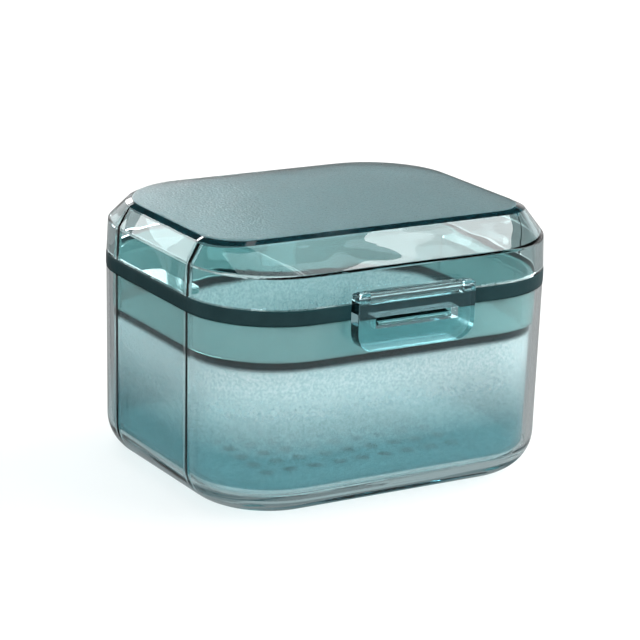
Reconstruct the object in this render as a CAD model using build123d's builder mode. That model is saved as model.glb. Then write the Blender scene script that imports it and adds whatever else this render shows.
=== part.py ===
from build123d import *
from math import atan2, sin
import os

# A clear case for retainers and dentures: a thick transparent shell, a strainer
# basket that lifts out of it, a soft seal round the rim, and a bevelled lid with
# a hinge at the back and a latch at the front.
#
# Millimetres, +Z up. The origin is the middle of the underside. The latch faces
# -Y and the hinge is at +Y. Insets are measured inwards from the case's outline
# at the rim.

os.makedirs("parts", exist_ok=True)

# Outline of the case at the rim
case_width = 100.0
case_depth = 84.0
corner_radius = 23.3

# Shell
shell_height = 49.7
shell_draft = 0.73
shell_wall = 1.5
shell_floor = 3.3
shell_foot_radius = 10.2
shell_floor_radius = 6.5

# Tongue on the shell's rim, which the seal is pressed over
tongue_width = 0.6
tongue_height = 1.8
tongue_play = 0.03

# Seal
seal_height = 3.85
seal_proud = 0.1
seal_inner_leg = 0.4
seal_edge_radius = 0.5
seal_to_lid = 0.05

# Basket
basket_to_shell = 0.3
basket_wall = 1.4
basket_floor = 1.6
basket_collar_step = 0.8
basket_rim_step = 0.7
basket_collar_height = 8.9
basket_rim_height = 3.4
basket_foot_radius = 5.0
basket_floor_radius = 3.6
basket_foot_height = 1.0
basket_foot_width = 5.0
basket_foot_spacing_x = 66.0
basket_foot_spacing_y = 50.0
basket_below_rim = 0.5

# Holes in the basket's floor
hole_diameter = 3.6
hole_pitch = 6.8
hole_columns = 9
hole_rows = 7

# Finger tabs inside the basket's rim, left and right
tab_length = 20.0
tab_reach = 5.0
tab_thickness = 1.4
tab_corner = 2.0

# Lid
lid_wall_height = 8.3
lid_draft = 0.32
lid_wall = 2.0
lid_roof = 2.4
bevel_height = 5.1
bevel_side = 3.14
bevel_front = 13.73
bevel_back = 4.8
bevel_front_radius = 10.2
bevel_back_radius = 22.7
bevel_edge_radius = 0.9
field_height = 1.0
field_inset = 2.0
field_edge_radius = 0.8
cavity_wall_short = 1.0

# Hinge
hinge_pin_diameter = 1.6
hinge_pin_play = 0.06
hinge_knuckle_radius = 1.8
hinge_wall_gap = 0.4
hinge_length = 30.0
hinge_lid_knuckle = 10.4
hinge_side_gap = 0.3
hinge_above_rim = 1.95
hinge_shell_web = 8.5
hinge_lid_web = 7.4
hinge_web_blunt = 0.1

# Latch
latch_width = 33.5
latch_centre = -0.8
latch_thickness = 3.6
latch_below_slot = 5.8
latch_gap = 0.4
latch_top_radius = 1.65
latch_foot_corner = 5.0
latch_top_corner = 1.2
latch_edge_radius = 0.4
latch_pin_above_lid = 1.85
latch_pin_diameter = 1.0
latch_pin_play = 0.06
latch_pin_recess = 0.2
latch_slot_width = 24.0
latch_slot_height = 2.8

# Long knuckle on the lid that carries the latch's pin
latch_knuckle_radius = 1.1
latch_knuckle_length = 26.5
latch_knuckle_gap = 0.25

# Catch on the shell, inside the latch's slot
catch_width = 21.0
catch_reach = 2.9
catch_height = 1.3
catch_nose = 0.7
catch_hook_gap = 0.3
catch_below_rim = 0.1

# How deep an added web or lug runs into the wall that it grows from
root = 0.8

# How far an edge may be from a height and still count as lying at it
same_level = 0.01

# Heights that follow from those sizes
seal_top = shell_height + seal_height
lid_bottom = seal_top + seal_to_lid
lid_shoulder = lid_bottom + lid_wall_height
lid_edge = lid_shoulder + bevel_height
lid_top = lid_edge + field_height
lid_ceiling = lid_top - lid_roof
basket_bottom = shell_floor + basket_foot_height
basket_jog = shell_height - basket_below_rim
basket_step = basket_jog - basket_collar_height
basket_top = basket_jog + basket_rim_height
catch_top = shell_height - catch_below_rim
catch_bottom = catch_top - catch_height
slot_bottom = catch_bottom - catch_hook_gap

# Insets that follow from those sizes
tongue_inner = shell_wall - seal_inner_leg
tongue_outer = tongue_inner - tongue_width
collar_inset = shell_wall + basket_to_shell
basket_inset = collar_inset + basket_collar_step
basket_inner = basket_inset + basket_wall
rim_inset = collar_inset + basket_rim_step

# Axes of the hinge and of the latch, and the latch's own edges
back_wall = case_depth / 2
front_wall = -case_depth / 2
hinge_y = back_wall + hinge_wall_gap + hinge_knuckle_radius
hinge_height = shell_height + hinge_above_rim
latch_back = front_wall - latch_gap
latch_front = latch_back - latch_thickness
latch_pin_y = latch_back - latch_top_radius
latch_pin_height = lid_bottom + latch_pin_above_lid
latch_top = latch_pin_height + latch_top_radius
latch_bottom = slot_bottom - latch_below_slot
latch_left = latch_centre - latch_width / 2
latch_right = latch_centre + latch_width / 2


def draft_at(height):
    """How far the shell's wall has leaned in at this height."""
    return shell_draft * (shell_height - height) / shell_height


def outline(side, front, back, front_radius, back_radius):
    """Rounded outline with its own inset on the sides, the front and the back."""
    x = case_width / 2 - side
    y_front = front_wall + front
    y_back = back_wall - back
    with BuildSketch() as profile:
        with BuildLine():
            FilletPolyline(
                (-x, y_front),
                (x, y_front),
                (x, y_back),
                (-x, y_back),
                radius=[front_radius, front_radius, back_radius, back_radius],
                close=True,
            )
        make_face()
    return profile.sketch


def even_outline(inset):
    """The case's outline drawn in by the same inset all round."""
    radius = corner_radius - inset
    return outline(inset, inset, inset, radius, radius)


def edges_at(builder, height):
    """The part's edges that lie level at this height."""
    return builder.edges().filter_by_position(Axis.Z, height - same_level, height + same_level)


def knuckle_profile(wall_end, web_end, bore):
    """Side view of a hinge knuckle on a web that slopes away along its wall."""
    outer = hinge_y + hinge_knuckle_radius
    inner = hinge_y - hinge_knuckle_radius
    blunt = wall_end + hinge_web_blunt * (web_end - wall_end)
    with BuildSketch() as profile:
        with BuildLine():
            Polyline(
                (inner, hinge_height),
                (outer, hinge_height),
                (outer, blunt),
                (back_wall - root, web_end),
                (back_wall - root, wall_end),
                (inner, wall_end),
                close=True,
            )
        make_face()
        with Locations((hinge_y, hinge_height)):
            Circle(hinge_knuckle_radius)
            Circle(bore, mode=Mode.SUBTRACT)
    return profile.sketch


# Shell, with its catch and the two outer knuckles of the hinge
with BuildPart() as outer_shell:
    with BuildSketch(Plane.XY):
        add(even_outline(shell_draft))
    with BuildSketch(Plane.XY.offset(shell_height)):
        add(even_outline(0))
    loft(ruled=True)

    with BuildSketch(Plane.XY.offset(shell_floor)):
        add(even_outline(shell_wall + draft_at(shell_floor)))
    with BuildSketch(Plane.XY.offset(shell_height)):
        add(even_outline(shell_wall))
    loft(ruled=True, mode=Mode.SUBTRACT)
    fillet(edges_at(outer_shell, shell_floor), radius=shell_floor_radius)
    fillet(edges_at(outer_shell, 0), radius=shell_foot_radius)

    with BuildSketch(Plane.XY.offset(shell_height)):
        add(even_outline(tongue_outer))
        add(even_outline(tongue_inner), mode=Mode.SUBTRACT)
    extrude(amount=tongue_height)

    with BuildSketch(Plane.YZ.offset(latch_centre)):
        with BuildLine():
            Polyline(
                (front_wall + root, catch_bottom),
                (front_wall - catch_reach, catch_bottom),
                (front_wall - catch_reach, catch_bottom + catch_nose),
                (front_wall + root, catch_top),
                close=True,
            )
        make_face()
    extrude(amount=catch_width / 2, both=True)

    knuckle_length = (hinge_length - hinge_lid_knuckle) / 2 - hinge_side_gap
    for start in (-hinge_length / 2, hinge_length / 2 - knuckle_length):
        with BuildSketch(Plane.YZ.offset(start)):
            add(knuckle_profile(shell_height, shell_height - hinge_shell_web, hinge_pin_diameter / 2))
        extrude(amount=knuckle_length)

outer_shell.part.label = "outer_shell"
export_step(outer_shell.part, "parts/outer_shell.step")


# Seal, pressed over the shell's tongue
with BuildPart() as seal_ring:
    with BuildSketch(Plane.XY.offset(shell_height)):
        add(even_outline(-seal_proud))
    extrude(amount=seal_height)
    fillet(edges_at(seal_ring, shell_height) + edges_at(seal_ring, seal_top), radius=seal_edge_radius)

    with BuildSketch(Plane.XY.offset(shell_height)):
        add(even_outline(shell_wall))
    extrude(amount=seal_height, mode=Mode.SUBTRACT)

    with BuildSketch(Plane.XY.offset(shell_height)):
        add(even_outline(tongue_outer - tongue_play))
        add(even_outline(tongue_inner + tongue_play), mode=Mode.SUBTRACT)
    extrude(amount=tongue_height + tongue_play, mode=Mode.SUBTRACT)

seal_ring.part.label = "seal_ring"
export_step(seal_ring.part, "parts/seal_ring.step")


# Strainer basket: a wall, a collar that slides in the shell, and a narrower rim
with BuildPart() as strainer_basket:
    with BuildSketch(Plane.XY.offset(basket_bottom)):
        add(even_outline(basket_inset + draft_at(basket_bottom)))
    with BuildSketch(Plane.XY.offset(basket_step)):
        add(even_outline(basket_inset + draft_at(basket_step)))
    loft(ruled=True)
    fillet(edges_at(strainer_basket, basket_bottom), radius=basket_foot_radius)

    with BuildSketch(Plane.XY.offset(basket_step)):
        add(even_outline(collar_inset + draft_at(basket_step)))
    with BuildSketch(Plane.XY.offset(basket_jog)):
        add(even_outline(collar_inset))
    loft(ruled=True)

    with BuildSketch(Plane.XY.offset(basket_jog)):
        add(even_outline(rim_inset))
    extrude(amount=basket_rim_height)

    with BuildSketch(Plane.XY.offset(basket_bottom + basket_floor)):
        add(even_outline(basket_inner + draft_at(basket_bottom + basket_floor)))
    with BuildSketch(Plane.XY.offset(basket_top)):
        add(even_outline(basket_inner))
    loft(ruled=True, mode=Mode.SUBTRACT)
    fillet(edges_at(strainer_basket, basket_bottom + basket_floor), radius=basket_floor_radius)

    with Locations((0, 0, basket_bottom + basket_floor)):
        with GridLocations(hole_pitch, hole_pitch, hole_columns, hole_rows):
            Hole(radius=hole_diameter / 2)

    with BuildSketch(Plane.XY.offset(shell_floor)):
        with GridLocations(basket_foot_spacing_x, basket_foot_spacing_y, 2, 2):
            Circle(basket_foot_width / 2)
    extrude(amount=basket_foot_height)

    tab_center = case_width / 2 - basket_inner - tab_reach / 2
    for side in (-1, 1):
        with BuildSketch(Plane.XY.offset(basket_top - tab_thickness)):
            with Locations((side * tab_center, 0)):
                Rectangle(tab_reach, tab_length)
            inner_corners = vertices().sort_by(Axis.X)
            fillet(inner_corners[2:] if side < 0 else inner_corners[:2], radius=tab_corner)
            with Locations((side * (tab_center + tab_reach / 2 + root / 2), 0)):
                Rectangle(root, tab_length)
        extrude(amount=tab_thickness)

strainer_basket.part.label = "strainer_basket"
export_step(strainer_basket.part, "parts/strainer_basket.step")


# Insets of the lid's cavity at its ceiling, one lid wall behind the bevels
rise = lid_ceiling - lid_shoulder


def ceiling_inset(bevel_inset):
    """Inset of the cavity's ceiling behind a bevel that ends at this inset."""
    run = bevel_inset - lid_draft
    slope = atan2(bevel_height, run)
    return lid_draft + run * rise / bevel_height + lid_wall / sin(slope)


lid_edge_outline = outline(bevel_side, bevel_front, bevel_back, bevel_front_radius, bevel_back_radius)
field_outline = outline(
    bevel_side + field_inset,
    bevel_front + field_inset,
    bevel_back + field_inset,
    bevel_front_radius,
    bevel_back_radius - field_inset,
)
ceiling_outline = outline(
    ceiling_inset(bevel_side),
    ceiling_inset(bevel_front),
    ceiling_inset(bevel_back),
    bevel_front_radius - lid_wall,
    bevel_back_radius - lid_wall,
)

# Lid, with the middle knuckle of the hinge and the long knuckle of the latch
with BuildPart() as lid:
    with BuildSketch(Plane.XY.offset(lid_bottom)):
        add(even_outline(0))
    with BuildSketch(Plane.XY.offset(lid_shoulder)):
        add(even_outline(lid_draft))
    loft(ruled=True)

    with BuildSketch(Plane.XY.offset(lid_shoulder)):
        add(even_outline(lid_draft))
    with BuildSketch(Plane.XY.offset(lid_edge)):
        add(lid_edge_outline)
    loft(ruled=True)
    fillet(edges_at(lid, lid_shoulder), radius=bevel_edge_radius)

    with BuildSketch(Plane.XY.offset(lid_edge)):
        add(lid_edge_outline)
    with BuildSketch(Plane.XY.offset(lid_top)):
        add(field_outline)
    loft(ruled=True)
    fillet(edges_at(lid, lid_top), radius=field_edge_radius)

    with BuildSketch(Plane.XY.offset(lid_bottom)):
        add(even_outline(lid_wall))
    with BuildSketch(Plane.XY.offset(lid_shoulder - cavity_wall_short)):
        add(even_outline(lid_wall + lid_draft))
    loft(ruled=True, mode=Mode.SUBTRACT)
    with BuildSketch(Plane.XY.offset(lid_shoulder - cavity_wall_short)):
        add(even_outline(lid_wall + lid_draft))
    with BuildSketch(Plane.XY.offset(lid_ceiling)):
        add(ceiling_outline)
    loft(ruled=True, mode=Mode.SUBTRACT)

    with BuildSketch(Plane.YZ):
        add(knuckle_profile(lid_bottom, lid_bottom + hinge_lid_web, hinge_pin_diameter / 2 + hinge_pin_play))
    extrude(amount=hinge_lid_knuckle / 2, both=True)

    with BuildSketch(Plane.YZ.offset(latch_centre)):
        with Locations((latch_pin_y, latch_pin_height)):
            Circle(latch_knuckle_radius)
        with BuildLine():
            Polyline(
                (latch_pin_y, latch_pin_height - latch_knuckle_radius),
                (front_wall + root, latch_pin_height - latch_knuckle_radius),
                (front_wall + root, latch_pin_height + latch_knuckle_radius),
                (latch_pin_y, latch_pin_height + latch_knuckle_radius),
                close=True,
            )
        make_face()
        with Locations((latch_pin_y, latch_pin_height)):
            Circle(latch_pin_diameter / 2 + latch_pin_play, mode=Mode.SUBTRACT)
    extrude(amount=latch_knuckle_length / 2, both=True)

lid.part.label = "lid"
export_step(lid.part, "parts/lid.step")


# Hinge pin, held in the shell's knuckles
with BuildPart() as hinge_pin:
    with BuildSketch(Plane.YZ):
        with Locations((hinge_y, hinge_height)):
            Circle(hinge_pin_diameter / 2)
    extrude(amount=hinge_length / 2, both=True)

hinge_pin.part.label = "hinge_pin"
export_step(hinge_pin.part, "parts/hinge_pin.step")


# Latch: a plate that hangs on its pin, with a pocket for the lid's knuckle
with BuildPart() as latch:
    with BuildSketch(Plane.YZ.offset(latch_centre)):
        with BuildLine():
            Polyline(
                (latch_back, latch_pin_height),
                (latch_back, latch_bottom),
                (latch_front, latch_bottom),
                (latch_front, latch_top),
                (latch_pin_y, latch_top),
            )
            TangentArc(
                (latch_pin_y, latch_top),
                (latch_back, latch_pin_height),
                tangent=(1, 0),
            )
        make_face()
    extrude(amount=latch_width / 2, both=True)

    with BuildSketch(Plane.XZ.offset(-latch_back)):
        with BuildLine():
            FilletPolyline(
                (latch_left, latch_bottom),
                (latch_right, latch_bottom),
                (latch_right, latch_top),
                (latch_left, latch_top),
                radius=[latch_foot_corner, latch_foot_corner, latch_top_corner, latch_top_corner],
                close=True,
            )
        make_face()
    extrude(amount=latch_thickness, mode=Mode.INTERSECT)
    fillet(latch.faces().sort_by(Axis.Y)[0].edges(), radius=latch_edge_radius)

    with BuildSketch(Plane.XZ.offset(-latch_back)):
        with Locations((latch_centre, slot_bottom + latch_slot_height / 2)):
            Rectangle(latch_slot_width, latch_slot_height)
    extrude(amount=latch_thickness, mode=Mode.SUBTRACT)

    pocket = latch_knuckle_radius + latch_knuckle_gap
    with BuildSketch(Plane.YZ.offset(latch_centre)):
        with BuildLine():
            Polyline(
                (latch_pin_y - pocket, latch_pin_height - pocket),
                (latch_back, latch_pin_height - pocket),
                (latch_back, latch_top),
                (latch_pin_y - pocket, latch_top),
                close=True,
            )
        make_face()
    extrude(amount=latch_knuckle_length / 2 + latch_knuckle_gap, both=True, mode=Mode.SUBTRACT)

    with BuildSketch(Plane.YZ.offset(latch_centre)):
        with Locations((latch_pin_y, latch_pin_height)):
            Circle(latch_pin_diameter / 2)
    extrude(amount=latch_width / 2, both=True, mode=Mode.SUBTRACT)

latch.part.label = "latch"
export_step(latch.part, "parts/latch.step")


# Latch pin, held in the latch
with BuildPart() as latch_pin:
    with BuildSketch(Plane.YZ.offset(latch_centre)):
        with Locations((latch_pin_y, latch_pin_height)):
            Circle(latch_pin_diameter / 2)
    extrude(amount=latch_width / 2 - latch_pin_recess, both=True)

latch_pin.part.label = "latch_pin"
export_step(latch_pin.part, "parts/latch_pin.step")
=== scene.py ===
# %% [markdown]
# A clear case for retainers and dentures, seen in its finished plastics. The seven moulded and turned
# parts come from the frame, and their shapes stay as they are. What this script adds is what a mould
# and a hand leave on them: tinted, clear and frosted plastic, a satin silicone band and dark pins.

# %% Frame and its size before anything is added
import math

import bmesh
import bpy
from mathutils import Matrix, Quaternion, Vector


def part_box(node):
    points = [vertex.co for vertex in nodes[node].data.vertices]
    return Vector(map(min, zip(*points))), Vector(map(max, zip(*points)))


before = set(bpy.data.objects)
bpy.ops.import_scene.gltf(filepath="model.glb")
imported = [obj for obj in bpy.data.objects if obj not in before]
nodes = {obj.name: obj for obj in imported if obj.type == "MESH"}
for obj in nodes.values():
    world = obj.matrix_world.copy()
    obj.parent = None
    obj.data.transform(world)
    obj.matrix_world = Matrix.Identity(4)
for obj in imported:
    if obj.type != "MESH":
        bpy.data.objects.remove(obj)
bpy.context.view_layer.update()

scene = bpy.context.scene
scene.view_settings.view_transform = "Standard"
print("parts:", sorted(nodes))

# %% [markdown]
# The camera stands where the photographer's stood: in front and to the left, a little above the lid,
# and far away with a long lens, so that the case's edges stay nearly parallel. It leans by less than
# two degrees. Setting a direction, a distance and a lens is easier to read than a bare matrix.

# %% Camera
photo_azimuth = math.radians(-31.11)
photo_elevation = math.radians(16.27)
photo_roll = math.radians(1.73)
photo_distance = 0.7138
photo_lens_mm = 155.6
sensor_mm = 36.0
photo_aim = Vector((0.0004, 0.0018, 0.0359))

camera_data = bpy.data.cameras.new("photo_camera")
camera_data.lens = photo_lens_mm
camera_data.sensor_width = sensor_mm
camera = bpy.data.objects.new("photo_camera", camera_data)
scene.collection.objects.link(camera)
scene.camera = camera

towards_camera = Vector((
    math.sin(photo_azimuth) * math.cos(photo_elevation),
    -math.cos(photo_azimuth) * math.cos(photo_elevation),
    math.sin(photo_elevation),
))
camera.location = photo_aim + photo_distance * towards_camera
camera.rotation_mode = "QUATERNION"
level = (-towards_camera).to_track_quat("-Z", "Y")
camera.rotation_quaternion = level @ Quaternion((0, 0, 1), photo_roll)
print("camera at", tuple(round(v, 3) for v in camera.location))

# %% [markdown]
# Every material here is a small tree of nodes, and three helpers keep the trees readable. One starts
# an empty material with its output node. One feeds an input, with a plain value or with what another
# node gives. One adds a node with its settings and inputs by name, so a node takes one call.

# %% Helpers: materials and nodes
def empty_material(name):
    """A material whose tree holds only its output node."""
    material = bpy.data.materials.new(name)
    material.use_nodes = True
    material.node_tree.nodes.clear()
    output = material.node_tree.nodes.new("ShaderNodeOutputMaterial")
    return material, material.node_tree, output


def feed(tree, socket, value):
    """Links another node's output to an input, or sets the input to a plain value."""
    if isinstance(value, bpy.types.NodeSocket):
        tree.links.new(value, socket)
    else:
        socket.default_value = value


def add_node(tree, kind, **values):
    """A new node, with its own settings and its inputs by name."""
    node = tree.nodes.new(kind)
    for name, value in values.items():
        if hasattr(node, name):
            setattr(node, name, value)
        else:
            feed(tree, node.inputs[name.replace("_", " ")], value)
    return node


print("helpers:", empty_material.__name__, feed.__name__, add_node.__name__)

# %% [markdown]
# Trees also need small sums. A Math node combines two values, a Map Range node moves a value from one
# range to another, and a Mix Shader node chooses between two looks.

# %% Helpers: sums, ranges and two looks
def work_out(tree, operation, *values):
    """What a Math node gives for one or two values."""
    node = add_node(tree, "ShaderNodeMath", operation=operation)
    for socket, value in zip(node.inputs, values):
        feed(tree, socket, value)
    return node.outputs["Value"]


def rescale(tree, value, low, high, to_low=0.0, to_high=1.0, curve="LINEAR"):
    """Goes from to_low to to_high while the value goes from low to high, and stays there past them."""
    node = add_node(
        tree, "ShaderNodeMapRange", interpolation_type=curve,
        Value=value, From_Min=low, From_Max=high, To_Min=to_low, To_Max=to_high,
    )
    return node.outputs["Result"]


def mix_shaders(tree, factor, first, second):
    """The first shader where the factor is 0 and the second where it is 1."""
    node = add_node(tree, "ShaderNodeMixShader")
    for socket, value in zip(node.inputs, (factor, first.outputs[0], second.outputs[0])):
        feed(tree, socket, value)
    return node


print("helpers:", work_out.__name__, rescale.__name__, mix_shaders.__name__)

# %% [markdown]
# A product shot on white is lit by a pale room and large soft lamps. The world gives the plain fill.
# Seen straight, by reflection or through plastic it is a white backdrop low down, with a grey
# ceiling above, because clear plastic shows its edges only where it bends something dark into view.

# %% World
white = (1, 1, 1, 1)
fill_level = 0.15
backdrop_level = 1.0
ceiling_grey = 0.03
backdrop_top = 0.15
ceiling_start = 0.4


def is_seen(tree, ray):
    """1 for a ray from the camera, off a mirror or through plastic, 0 for one that only lights."""
    straight_or_mirror = work_out(
        tree, "MAXIMUM", ray.outputs["Is Camera Ray"], ray.outputs["Is Glossy Ray"],
    )
    return work_out(tree, "MAXIMUM", straight_or_mirror, ray.outputs["Is Transmission Ray"])


world = bpy.data.worlds.new("studio")
scene.world = world
world.use_nodes = True
sky = world.node_tree
sky.nodes.clear()

direction = add_node(sky, "ShaderNodeTexCoord")
split = add_node(sky, "ShaderNodeSeparateXYZ", Vector=direction.outputs["Generated"])
backdrop = rescale(
    sky, split.outputs["Z"], backdrop_top, ceiling_start, backdrop_level, ceiling_grey,
)
fill = add_node(sky, "ShaderNodeBackground", Color=white, Strength=fill_level)
seen = add_node(sky, "ShaderNodeBackground", Color=white, Strength=backdrop)
ray = add_node(sky, "ShaderNodeLightPath")
which_sky = mix_shaders(sky, is_seen(sky, ray), fill, seen)
add_node(sky, "ShaderNodeOutputWorld", Surface=which_sky.outputs[0])
print("world fill", fill_level)

# %% [markdown]
# The floor is one big pale disc, so large that its edge is out of sight from all but low views.

# %% Floor: the disc
floor_radius = 6.0
floor_sides = 96

floor_mesh = bpy.data.meshes.new("studio_floor")
disc = bmesh.new()
bmesh.ops.create_circle(disc, cap_ends=True, segments=floor_sides, radius=floor_radius)
disc.to_mesh(floor_mesh)
disc.free()
floor = bpy.data.objects.new("studio_floor", floor_mesh)
scene.collection.objects.link(floor)
print("floor radius", floor_radius)

# %% [markdown]
# Seen by the camera or through the plastic the floor is a white sweep that glows by itself, and only
# a share of its look comes from the lamps, which is what keeps the soft shadow under the case.
# Farther out, past the lamps' reach, it glows more. Thick clear plastic on white paper would vanish,
# so what it mirrors of the floor is dimmed, and what it bends into view from under the case is shaded.

# %% Floor: its paper
floor_colour = (0.86, 0.87, 0.87, 1)
floor_glow = 0.63
lamps_reach = 0.35
lamps_end = 1.3
floor_lit_share = 0.34
shade_centre = (-0.02, 0.015, 0.0)
shade_core = 0.05
shade_reach = 0.10
shade_colour = (0.36, 0.45, 0.46, 1)
mirrored_share = 0.35

floor_material, tree, output = empty_material("floor_paper")
paper = add_node(tree, "ShaderNodeBsdfDiffuse", Color=floor_colour)
lit_colour = tuple(floor_lit_share * value for value in floor_colour[:3]) + (1,)
dim_paper = add_node(tree, "ShaderNodeBsdfDiffuse", Color=lit_colour)

place = add_node(tree, "ShaderNodeTexCoord")
from_case = add_node(tree, "ShaderNodeVectorMath", operation="DISTANCE")
feed(tree, from_case.inputs[0], place.outputs["Object"])
feed(tree, from_case.inputs[1], shade_centre)
distance = from_case.outputs["Value"]

glow_level = rescale(tree, distance, lamps_reach, lamps_end, to_low=floor_glow)
glow = add_node(tree, "ShaderNodeEmission", Color=white, Strength=glow_level)
white_look = add_node(tree, "ShaderNodeAddShader")
feed(tree, white_look.inputs[0], glow.outputs[0])
feed(tree, white_look.inputs[1], dim_paper.outputs[0])

ray = add_node(tree, "ShaderNodeLightPath")
mirror_dim = work_out(tree, "MULTIPLY", ray.outputs["Is Glossy Ray"], 1.0 - mirrored_share)
no_light = add_node(tree, "ShaderNodeEmission", Strength=0.0)
dimmed_look = mix_shaders(tree, mirror_dim, white_look, no_light)

out_of_shade = rescale(tree, distance, shade_core, shade_reach)
not_through = work_out(tree, "SUBTRACT", 1.0, ray.outputs["Is Transmission Ray"])
open_share = work_out(tree, "MAXIMUM", out_of_shade, not_through)
shade = add_node(tree, "ShaderNodeEmission", Color=shade_colour)
shaded_look = mix_shaders(tree, open_share, shade, dimmed_look)

look = mix_shaders(tree, is_seen(tree, ray), paper, shaded_look)
feed(tree, output.inputs["Surface"], look.outputs[0])
floor_mesh.materials.append(floor_material)
print("floor look", floor_material.name)

# %% [markdown]
# Soft boxes in front, at the right and overhead light the case. They are left out of mirror looks,
# or the satin top would turn white seen from the far side. Narrow strips overhead, behind and at the
# left are there to be mirrored: they draw the highlights on the bevels. Each lamp is aimed at the
# middle of the case, so that moving one keeps it useful.

# %% Lamps
case_middle = Vector((0.0, 0.0, 0.035))

# Each has its place, its width and height in metres, its power in watts, and whether it is mirrored.
lamps = {
    "overhead_strip": ((0.505, 0.345, 0.715), 0.09, 0.25, 0.32, True),
    "overhead_dim_strip": ((0.395, 0.36, 0.715), 0.11, 0.3, 0.14, True),
    "overhead_soft_box": ((0.0, 0.25, 1.0), 0.9, 0.9, 8.0, False),
    "front_soft_box": ((0.62, -0.62, 0.4), 0.5, 0.5, 5.2, False),
    "front_left_soft_box": ((-0.66, -0.72, 0.35), 0.35, 0.5, 5.4, False),
    "right_soft_box": ((0.9, -0.15, 0.48), 0.9, 0.9, 16.0, False),
    "left_soft_box": ((-0.8, -0.1, 0.45), 0.25, 0.5, 1.5, True),
    "strip_behind_left": ((-0.50, 0.80, 0.36), 0.12, 0.3, 0.5, True),
    "behind_soft_box": ((0.28, 0.94, 0.29), 0.3, 0.12, 0.9, True),
}


def add_soft_box(name, place, width, height, watts, mirrored):
    """A rectangular soft lamp at a place, aimed at the middle of the case."""
    data = bpy.data.lights.new(name, "AREA")
    data.shape = "RECTANGLE"
    data.size = width
    data.size_y = height
    data.energy = watts
    lamp = bpy.data.objects.new(name, data)
    scene.collection.objects.link(lamp)
    lamp.location = place
    lamp.rotation_mode = "QUATERNION"
    lamp.rotation_quaternion = (case_middle - lamp.location).to_track_quat("-Z", "Y")
    lamp.visible_glossy = mirrored


for name, settings in lamps.items():
    add_soft_box(name, *settings)
print("lamps:", list(lamps))

# %% [markdown]
# Polished plastic needs something dark to mirror, or it looks like paper. Photographers lay a black
# card beside it. This one lies on the floor behind the left side, so the flat left face mirrors it,
# while the rounded corner next to it already mirrors white paper, and a crisp line parts the two.

# %% Black card
card_corners = ((-0.056, -0.018), (-0.056, 0.260), (-0.190, 0.260), (-0.145, 0.133))
card_lift = 0.0004
card_colour = (0.01, 0.012, 0.012, 1)

card_mesh = bpy.data.meshes.new("black_card")
card_shape = bmesh.new()
card_shape.faces.new([card_shape.verts.new((x, y, card_lift)) for x, y in reversed(card_corners)])
card_shape.to_mesh(card_mesh)
card_shape.free()
card = bpy.data.objects.new("black_card", card_mesh)
scene.collection.objects.link(card)
card.visible_camera = False
card.visible_diffuse = False
card.visible_transmission = False
card.visible_volume_scatter = False
card.visible_shadow = False
card_material, tree, output = empty_material("black_card")
black = add_node(tree, "ShaderNodeBsdfDiffuse", Color=card_colour)
feed(tree, output.inputs["Surface"], black.outputs[0])
card_mesh.materials.append(card_material)
print("card corners", card_corners)

# %% [markdown]
# Moulded plastic is never perfectly flat: the melt leaves long, shallow waves, and wiping leaves a
# faint haze. Both are slow patterns, so one node group gives them to every polished part. They read
# the part's own coordinates, so that they stay on the part when it moves.

# %% Group: moulded waves and wiping haze
def new_group(name, inputs, outputs):
    """An empty node group with float inputs and outputs, and its two end nodes."""
    group = bpy.data.node_groups.new(name, "ShaderNodeTree")
    for label in inputs:
        group.interface.new_socket(label, in_out="INPUT", socket_type="NodeSocketFloat")
    for label in outputs:
        group.interface.new_socket(label, in_out="OUTPUT", socket_type="NodeSocketFloat")
    return group, group.nodes.new("NodeGroupInput"), group.nodes.new("NodeGroupOutput")


def on_part(tree):
    """The place on the part, in metres."""
    return add_node(tree, "ShaderNodeTexCoord").outputs["Object"]


haze_scale = 150.0
haze_begins = 0.4
haze_full = 0.75

moulded, start, end = new_group(
    "moulded_waves", ["Wave Scale", "Clean Roughness", "Hazy Roughness"], ["Roughness", "Height"],
)
waves = add_node(
    moulded, "ShaderNodeTexNoise", Vector=on_part(moulded),
    Scale=start.outputs["Wave Scale"], Detail=1.0, Roughness=0.4,
)
haze = add_node(
    moulded, "ShaderNodeTexNoise", Vector=on_part(moulded), Scale=haze_scale, Detail=3.0, Roughness=0.6,
)
hazy = rescale(
    moulded, haze.outputs[0], haze_begins, haze_full,
    start.outputs["Clean Roughness"], start.outputs["Hazy Roughness"],
)
feed(moulded, end.inputs["Roughness"], hazy)
feed(moulded, end.inputs["Height"], waves.outputs[0])
print("group", moulded.name)

# %% [markdown]
# A frosted face is a polished mould face that was blasted with grit. It scatters light through
# thousands of tiny pits, with here and there a flat grain that sparkles. A fine noise gives the pits
# and a cell pattern gives the grains.

# %% Group: blasted grain
pit_scale = 1500.0
grain_scale = 1500.0
speckle_low = 0.35
speckle_high = 0.65

blasted, start, end = new_group(
    "blasted_grain", ["Smooth Roughness", "Rough Roughness"], ["Roughness", "Height", "Speckle"],
)
pits = add_node(
    blasted, "ShaderNodeTexNoise", Vector=on_part(blasted), Scale=pit_scale, Detail=2.0, Roughness=0.6,
)
grains = add_node(
    blasted, "ShaderNodeTexVoronoi", Vector=on_part(blasted), Scale=grain_scale, Randomness=1.0,
)
from_grain = grains.outputs["Distance"]
rough = rescale(
    blasted, from_grain, 0.0, 1.0, start.outputs["Smooth Roughness"], start.outputs["Rough Roughness"],
)
feed(blasted, end.inputs["Roughness"], rough)
feed(blasted, end.inputs["Height"], work_out(blasted, "ADD", pits.outputs[0], from_grain))
feed(blasted, end.inputs["Speckle"], rescale(blasted, pits.outputs[0], speckle_low, speckle_high))
print("group", blasted.name)

# %% [markdown]
# One moulding often has several finishes. A mask by height on the part tells them apart, and two
# small mixers then choose a colour or a value below the mask and another above it.

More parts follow.
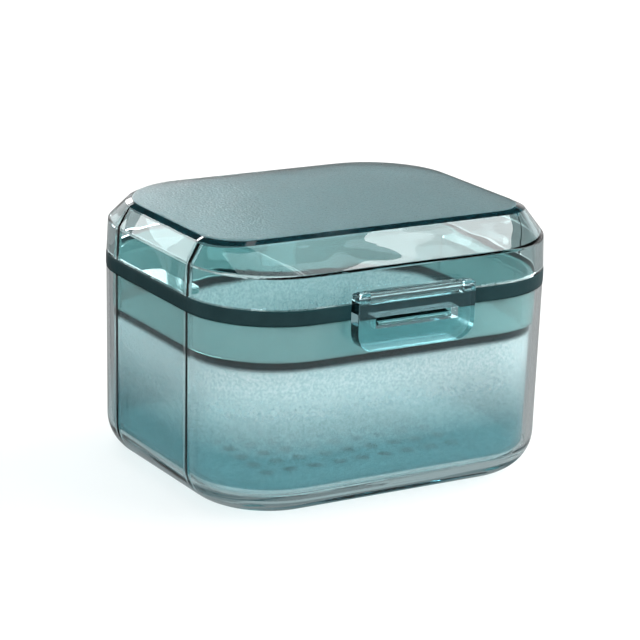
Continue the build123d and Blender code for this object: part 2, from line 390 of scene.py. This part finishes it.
# %% Helpers: masks by height and mixers
def along(tree, axis):
    """How far along an axis of the part a point lies, in metres."""
    return add_node(tree, "ShaderNodeSeparateXYZ", Vector=on_part(tree)).outputs[axis]


def mask_above(tree, height, soft):
    """A 0 to 1 step at a height on the part, soft by this many metres."""
    return rescale(tree, along(tree, "Z"), height - soft / 2, height + soft / 2)


def mix(tree, kind, factor, first, second):
    """A Mix node of one kind. Its sockets for the other kinds are switched off, and passed over."""
    node = add_node(tree, "ShaderNodeMix", data_type=kind)
    in_use = [socket for socket in node.inputs if socket.enabled]
    for socket, value in zip(in_use, (factor, first, second)):
        feed(tree, socket, value)
    return next(socket for socket in node.outputs if socket.enabled)


def mix_colours(tree, mask, first, second):
    """One colour below the mask and another above it."""
    return mix(tree, "RGBA", mask, first, second)


def mix_values(tree, mask, first, second):
    """One value below the mask and another above it."""
    return mix(tree, "FLOAT", mask, first, second)


print("helpers:", mask_above.__name__, mix_colours.__name__, mix_values.__name__)

# %% [markdown]
# The flat sides meet the round corners along upright lines, and the mould leaves a low ridge there.
# It is about two millimetres wide and far less than one high, but clear plastic bends what lies
# behind it into a dark and a light line. The distance from those four lines gives the ridge its
# height, and the boxes of two parts say where the lines are.

# %% Group: ridges where the flat sides end
seal_proud = 0.0001
corner_radius = 0.0233
side_wall_depth = 0.005
ridge_half_width = 0.0011

_, seal_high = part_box("seal_ring")
_, shell_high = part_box("outer_shell")
corner_start_y = seal_high.y - seal_proud - corner_radius
side_wall_from_x = shell_high.x - side_wall_depth

ridges, start, end = new_group("corner_ridges", [], ["Height"])
folded_y = work_out(ridges, "ABSOLUTE", along(ridges, "Y"))
from_line = work_out(ridges, "ABSOLUTE", work_out(ridges, "SUBTRACT", folded_y, corner_start_y))
crest = rescale(ridges, from_line, ridge_half_width, 0.0, curve="SMOOTHSTEP")
folded_x = work_out(ridges, "ABSOLUTE", along(ridges, "X"))
on_side = work_out(ridges, "GREATER_THAN", folded_x, side_wall_from_x)
feed(ridges, end.inputs["Height"], work_out(ridges, "MULTIPLY", crest, on_side))
print("group", ridges.name, "at y", round(corner_start_y, 4), "past x", round(side_wall_from_x, 4))

# %% [markdown]
# Light from the lamps has to reach what stands inside the clear walls. Real plastic lets it through
# by bending it, which takes a renderer very long, so for shadow rays only the wall counts as open.
# The plastic's volume takes light from what is seen through it, the more the longer the way.

# %% Helpers: plastic that light goes through
def let_lamps_through(tree, shader, tint, output):
    """Links a shader to the output, with a tinted opening in its place for shadow rays."""
    opening = add_node(tree, "ShaderNodeBsdfTransparent", Color=tint)
    ray = add_node(tree, "ShaderNodeLightPath")
    either = mix_shaders(tree, ray.outputs["Is Shadow Ray"], shader, opening)
    feed(tree, output.inputs["Surface"], either.outputs[0])


def absorb(tree, colour, density, output):
    """Plastic that takes more light the longer the way through it."""
    body = add_node(tree, "ShaderNodeVolumeAbsorption", Color=colour, Density=density)
    feed(tree, output.inputs["Volume"], body.outputs[0])


print("helpers:", let_lamps_through.__name__, absorb.__name__)

# %% [markdown]
# A polished face gets its waves as a bump and its haze as roughness. Ridges, streaks and grain are
# further bumps, each on top of the one before it. A noise drawn out along the part serves for streaks
# in the plastic as well as for scratches in steel.

# %% Helpers: bumps and drawn noise
ridge_rise = 0.00028


def add_bump(tree, height, strength, rise, onto=None):
    """A normal bent by a height pattern, on top of another bump where one is given."""
    node = add_node(tree, "ShaderNodeBump", Strength=strength, Distance=rise, Height=height)
    if onto is not None:
        feed(tree, node.inputs["Normal"], onto)
    return node.outputs["Normal"]


def polish(tree, wave_scale, haze, strength, rise):
    """The roughness and the normal of a polished face."""
    waves = add_node(
        tree, "ShaderNodeGroup", node_tree=moulded,
        Wave_Scale=wave_scale, Clean_Roughness=0.0, Hazy_Roughness=haze,
    )
    return waves.outputs["Roughness"], add_bump(tree, waves.outputs["Height"], strength, rise)


def add_ridges(tree, normal):
    """The ridges at the corners, on top of another bump."""
    ridge = add_node(tree, "ShaderNodeGroup", node_tree=ridges)
    return add_bump(tree, ridge.outputs["Height"], strength=1.0, rise=ridge_rise, onto=normal)


def drawn_noise(tree, stretch, detail):
    """A noise drawn out along the part, with its own scale on each axis."""
    drawn = add_node(tree, "ShaderNodeMapping", Vector=on_part(tree), Scale=stretch)
    noise = add_node(tree, "ShaderNodeTexNoise", Vector=drawn.outputs[0], Scale=1.0, Detail=detail)
    return noise.outputs[0]


print("helpers:", add_bump.__name__, polish.__name__, add_ridges.__name__, drawn_noise.__name__)

# %% [markdown]
# The shell is thick water-clear plastic. It is polished inside and out, so it is a glass-like shader
# with an index of 1.5, a trace of haze, and a very light teal tint that only shows along the edges,
# where the eye looks through centimetres of it. Round its thick foot the melt froze in long level
# streaks, and a noise stretched along the wall bends the light there into pale and dark lines.

# %% Shell: clear plastic
hard_plastic_index = 1.5
shell_colour = (0.985, 0.99, 0.99, 1)
shell_shadow_tint = (0.97, 0.98, 0.98, 1)
shell_depth_colour = (0.06, 0.58, 0.66, 1)
shell_density = 32.0
foot_band_top = 0.0060
foot_band_fade = 0.0020
streak_stretch = (18.0, 18.0, 210.0)
streak_strength = 1.0
streak_rise = 0.0045
no_streak = 0.5


def make_clear_plastic():
    """The shell's plastic: clear, with a trace of haze, ridges and a streaky foot."""
    material, tree, output = empty_material("clear_plastic")
    roughness, normal = polish(tree, wave_scale=28.0, haze=0.04, strength=0.15, rise=0.001)
    normal = add_ridges(tree, normal)
    over_foot = mask_above(tree, foot_band_top, foot_band_fade)
    streaks = mix_values(tree, over_foot, drawn_noise(tree, streak_stretch, detail=0.0), no_streak)
    normal = add_bump(tree, streaks, streak_strength, streak_rise, onto=normal)
    shader = add_node(
        tree, "ShaderNodeBsdfPrincipled", Base_Color=shell_colour, IOR=hard_plastic_index,
        Transmission_Weight=1.0, Roughness=roughness, Normal=normal,
    )
    let_lamps_through(tree, shader, shell_shadow_tint, output)
    absorb(tree, shell_depth_colour, shell_density, output)
    return material


clear_plastic = make_clear_plastic()
print("made", clear_plastic.name)

# %% [markdown]
# The lid is the same hard plastic tinted teal. Its bevelled rim is polished, and the raised field on
# top is frosted, with a rounded shoulder between them that is painted dark as shade, where the eye
# looks along the plastic and not through it. Height on the lid tells the three apart.

# %% Lid: tinted plastic with a frosted field
field_height = 0.001
shoulder_height = 0.0008
field_soft = 0.0001
lid_colour = (0.88, 0.96, 0.96, 1)
# The shoulder's colour is painted shade: dark where the eye looks along the plastic.
shoulder_painted_shade_colour = (0.0012, 0.019, 0.027, 1)
shoulder_roughness = 0.04
top_frost_dark = (0.31, 0.56, 0.60, 1)
top_frost_pale = (0.47, 0.71, 0.75, 1)
lid_shadow_tint = (0.8, 0.92, 0.92, 1)
lid_depth_colour = (0.30, 0.55, 0.58, 1)
lid_density = 92.0

_, lid_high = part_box("lid")
field_start = lid_high.z - field_height
shoulder_end = field_start + shoulder_height


def make_lid_plastic():
    """The lid's plastic: polished, with painted shade on the shoulder and a frosted field above it."""
    material, tree, output = empty_material("clear_teal_plastic_frosted_top")
    on_field = mask_above(tree, field_start, field_soft)
    on_top = mask_above(tree, shoulder_end, field_soft)
    grain = add_node(
        tree, "ShaderNodeGroup", node_tree=blasted, Smooth_Roughness=0.25, Rough_Roughness=0.45,
    )

    # Painted shade: the shoulder below the field gets its dark colour here.
    colour = mix_colours(tree, on_field, lid_colour, shoulder_painted_shade_colour)
    top_frost = mix_colours(tree, grain.outputs["Speckle"], top_frost_dark, top_frost_pale)
    colour = mix_colours(tree, on_top, colour, top_frost)

    roughness, normal = polish(tree, wave_scale=60.0, haze=0.03, strength=0.35, rise=0.0012)
    roughness = mix_values(tree, on_field, roughness, shoulder_roughness)
    roughness = mix_values(tree, on_top, roughness, grain.outputs["Roughness"])
    normal = add_ridges(tree, normal)
    pitted = mix_values(tree, on_top, 0.0, grain.outputs["Height"])
    normal = add_bump(tree, pitted, strength=0.4, rise=0.0002, onto=normal)

    shader = add_node(
        tree, "ShaderNodeBsdfPrincipled", Base_Color=colour, IOR=hard_plastic_index,
        Transmission_Weight=1.0, Roughness=roughness, Normal=normal,
    )
    let_lamps_through(tree, shader, lid_shadow_tint, output)
    absorb(tree, lid_depth_colour, lid_density, output)
    return material


lid_plastic = make_lid_plastic()
print("made", lid_plastic.name, "field starts at", round(field_start, 5))

# %% [markdown]
# The latch is moulded from the lid's tinted plastic and is polished all over. It is thin, so its
# volume takes red faster than the lid's does, and the latch still comes out as teal.

# %% Latch: tinted plastic
latch_colour = (0.85, 0.97, 0.97, 1)
latch_shadow_tint = (0.8, 0.93, 0.93, 1)
latch_depth_colour = (0.08, 0.62, 0.72, 1)
latch_density = 95.0


def make_latch_plastic():
    """The latch's plastic: polished all over."""
    material, tree, output = empty_material("clear_teal_plastic")
    roughness, normal = polish(tree, wave_scale=40.0, haze=0.05, strength=0.1, rise=0.001)
    shader = add_node(
        tree, "ShaderNodeBsdfPrincipled", Base_Color=latch_colour, IOR=hard_plastic_index,
        Transmission_Weight=1.0, Roughness=roughness, Normal=normal,
    )
    let_lamps_through(tree, shader, latch_shadow_tint, output)
    absorb(tree, latch_depth_colour, latch_density, output)
    return material


latch_plastic = make_latch_plastic()
print("made", latch_plastic.name)

# %% [markdown]
# The basket's wall is frosted between two polished bands: the collar that slides in the shell, and a
# narrow border round the foot. The frost is thick near the top and thins out low down, where the drain
# holes in the floor show through, and its colour there is painted darker as shade. The step under the
# collar, that it stands on, is painted dark as shade. Height on the basket tells these apart, and most
# heights are worked out from the basket's box.

# %% Basket: heights and reaches
frost_edge = 0.0005
sharp_edge = 0.0001
collar_height = 0.0123
step_height = 0.0026
step_fade = 0.0014
frost_starts = 0.0042
frost_and_painted_shade_change = 0.024
frost_and_painted_shade_blend = 0.018
foot_height = 0.0010
floor_thickness = 0.0016
holes_reach_x = 0.030
holes_reach_y = 0.023

basket_low, basket_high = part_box("strainer_basket")
collar_foot = basket_high.z - collar_height
frost_top = collar_foot - step_height
frost_bottom = basket_low.z + frost_starts
floor_under = basket_low.z + foot_height
floor_top = floor_under + floor_thickness
print("frost from", round(frost_bottom, 4), "to", round(frost_top, 4))

# %% [markdown]
# The drain holes' walls are painted dark as shade, where the eye looks along the plastic into the
# holes. Two more helpers find them: a mask by the distance from the basket's middle, and the overlap of
# two masks.

# %% Helpers: masks by place
def within(tree, axis, reach):
    """1 where the part lies within this reach of its middle along an axis, else 0."""
    return work_out(tree, "LESS_THAN", work_out(tree, "ABSOLUTE", along(tree, axis)), reach)


def both(tree, first, second):
    """The overlap of two masks."""
    return work_out(tree, "MULTIPLY", first, second)


print("helpers:", within.__name__, both.__name__)

# %% [markdown]
# Frost is pale, because its pits scatter light back. It has two pairs of colours, for low down and for
# high up, and the darker low pair is painted shade, so the wall is darker towards the bottom. Its
# speckle goes from one of a pair to the other.

# %% Basket: colours of its finishes
floor_side_colour = (0.85, 0.97, 0.97, 1)
foot_colour = (0.80, 0.86, 0.86, 1)
# The hole walls' colour is painted shade.
hole_wall_painted_shade_colour = (0.004, 0.03, 0.035, 1)
# The low pair is painted shade: the frost is darker towards the bottom.
painted_shade_low_frost_dark = (0.11, 0.28, 0.31, 1)
painted_shade_low_frost_pale = (0.17, 0.37, 0.40, 1)
high_frost_dark = (0.66, 0.78, 0.79, 1)
high_frost_pale = (0.99, 0.99, 0.98, 1)
# The step's colour is painted shade under the collar.
step_painted_shade_colour = (0.006, 0.03, 0.035, 1)
collar_colour = (0.34, 0.56, 0.55, 1)
print("frost from", painted_shade_low_frost_dark[:3], "up to", high_frost_pale[:3])

# %% [markdown]
# One material holds all the basket's finishes, and its colour is built up from the foot to the
# collar. A share of the plastic is plain diffuse colour, which gives the frost its milky look.

# %% Basket: teal plastic with a frosted wall
soft_plastic_index = 1.45
clear_share = 0.7
polished_roughness = 0.08
thin_frost_roughness = 0.05
basket_shadow_tint = (0.60, 0.76, 0.77, 1)
basket_depth_colour = (0.02, 0.42, 0.48, 1)
basket_density = 130.0


def hole_walls(tree):
    """1 on the walls of the drain holes, else 0."""
    over_floor = mask_above(tree, floor_top - sharp_edge / 2, sharp_edge)
    in_floor = mix_values(tree, over_floor, mask_above(tree, floor_under + sharp_edge, sharp_edge), 0.0)
    near_holes = both(tree, within(tree, "X", holes_reach_x), within(tree, "Y", holes_reach_y))
    return both(tree, in_floor, near_holes)


def make_frosted_plastic():
    """The basket's plastic: foot, frosted wall, step and collar, from the lowest up."""
    material, tree, output = empty_material("frosted_teal_plastic")
    over_floor = mask_above(tree, floor_top + frost_edge, frost_edge)
    in_field = mask_above(tree, frost_bottom, frost_edge)
    up_the_wall = mask_above(tree, frost_and_painted_shade_change, frost_and_painted_shade_blend)
    over_field = mask_above(tree, frost_top, step_fade)
    in_collar = mask_above(tree, collar_foot, frost_edge)
    grain = add_node(
        tree, "ShaderNodeGroup", node_tree=blasted, Smooth_Roughness=0.1, Rough_Roughness=0.24,
    )

    speckle = grain.outputs["Speckle"]
    # Painted shade: the low colours make the wall darker towards the bottom, while the roughness change
    # up the wall is the frost's own.
    painted_shade_low_frost = mix_colours(tree, speckle, painted_shade_low_frost_dark, painted_shade_low_frost_pale)
    high_frost = mix_colours(tree, speckle, high_frost_dark, high_frost_pale)
    frost = mix_colours(tree, up_the_wall, painted_shade_low_frost, high_frost)
    foot = mix_colours(tree, over_floor, floor_side_colour, foot_colour)
    # Painted shade on the drain holes' walls.
    foot = mix_colours(tree, hole_walls(tree), foot, hole_wall_painted_shade_colour)
    colour = mix_colours(tree, in_field, foot, frost)
    # Painted shade on the step under the collar.
    colour = mix_colours(tree, over_field, colour, step_painted_shade_colour)
    colour = mix_colours(tree, in_collar, colour, collar_colour)

    roughness = mix_values(tree, up_the_wall, thin_frost_roughness, grain.outputs["Roughness"])
    roughness = mix_values(tree, in_field, polished_roughness, roughness)
    roughness = mix_values(tree, over_field, roughness, polished_roughness)
    pitted = mix_values(tree, up_the_wall, 0.0, grain.outputs["Height"])
    pitted = mix_values(tree, over_field, pitted, 0.0)
    normal = add_bump(tree, pitted, strength=0.35, rise=0.0002)

    shader = add_node(
        tree, "ShaderNodeBsdfPrincipled", Base_Color=colour, IOR=soft_plastic_index,
        Transmission_Weight=clear_share, Roughness=roughness, Normal=normal,
    )
    let_lamps_through(tree, shader, basket_shadow_tint, output)
    absorb(tree, basket_depth_colour, basket_density, output)
    return material


frosted_plastic = make_frosted_plastic()
print("made", frosted_plastic.name)

# %% [markdown]
# The seal is soft dark teal silicone. It is satin, with a very fine skin, and it picks up dust, which
# shows as slightly paler and rougher patches.

# %% Seal: silicone
silicone_index = 1.42
silicone_gloss = 0.2
clean_silicone_roughness = 0.38
dusty_silicone_roughness = 0.55
clean_silicone_colour = (0.006, 0.023, 0.026, 1)
dusty_silicone_colour = (0.009, 0.031, 0.035, 1)


def make_silicone():
    """The seal's silicone: satin, with dust on it."""
    material, tree, output = empty_material("teal_silicone")
    patches = add_node(
        tree, "ShaderNodeGroup", node_tree=moulded, Wave_Scale=28.0,
        Clean_Roughness=clean_silicone_roughness, Hazy_Roughness=dusty_silicone_roughness,
    )
    roughness = patches.outputs["Roughness"]
    dust = rescale(tree, roughness, clean_silicone_roughness, dusty_silicone_roughness)
    colour = mix_colours(tree, dust, clean_silicone_colour, dusty_silicone_colour)
    skin = add_node(tree, "ShaderNodeGroup", node_tree=blasted)
    normal = add_bump(tree, skin.outputs["Height"], strength=0.15, rise=0.0001)
    shader = add_node(
        tree, "ShaderNodeBsdfPrincipled", Base_Color=colour, IOR=silicone_index,
        Specular_IOR_Level=silicone_gloss, Roughness=roughness, Normal=normal,
    )
    feed(tree, output.inputs["Surface"], shader.outputs[0])
    return material


silicone = make_silicone()
print("made", silicone.name)

# %% [markdown]
# The pins are drawn steel wire, blackened against rust, so their fine scratches run along them. A
# noise squeezed across the pin and stretched along it gives that look.

# %% Pins: blackened drawn steel
scratch_stretch = (40.0, 4000.0, 4000.0)
pin_colour = (0.20, 0.21, 0.22, 1)
smooth_pin_roughness = 0.18
scratched_pin_roughness = 0.42


def make_pin_steel():
    """The pins' steel: dark, with fine scratches along it."""
    material, tree, output = empty_material("pin_steel")
    scratches = drawn_noise(tree, scratch_stretch, detail=3.0)
    roughness = rescale(tree, scratches, 0.0, 1.0, smooth_pin_roughness, scratched_pin_roughness)
    shader = add_node(
        tree, "ShaderNodeBsdfPrincipled", Base_Color=pin_colour, Metallic=1.0,
        Roughness=roughness, Normal=add_bump(tree, scratches, strength=0.1, rise=0.00005),
    )
    feed(tree, output.inputs["Surface"], shader.outputs[0])
    return material


pin_steel = make_pin_steel()
print("made", pin_steel.name)

# %% [markdown]
# Each part of the frame now gets its finish in place of the plain one it came with.

# %% Finishes onto the parts
finishes = {
    "outer_shell": clear_plastic,
    "seal_ring": silicone,
    "strainer_basket": frosted_plastic,
    "lid": lid_plastic,
    "hinge_pin": pin_steel,
    "latch": latch_plastic,
    "latch_pin": pin_steel,
}
for name, finish in finishes.items():
    for material_slot in nodes[name].material_slots:
        material_slot.material = finish
    print(name, "->", finish.name)
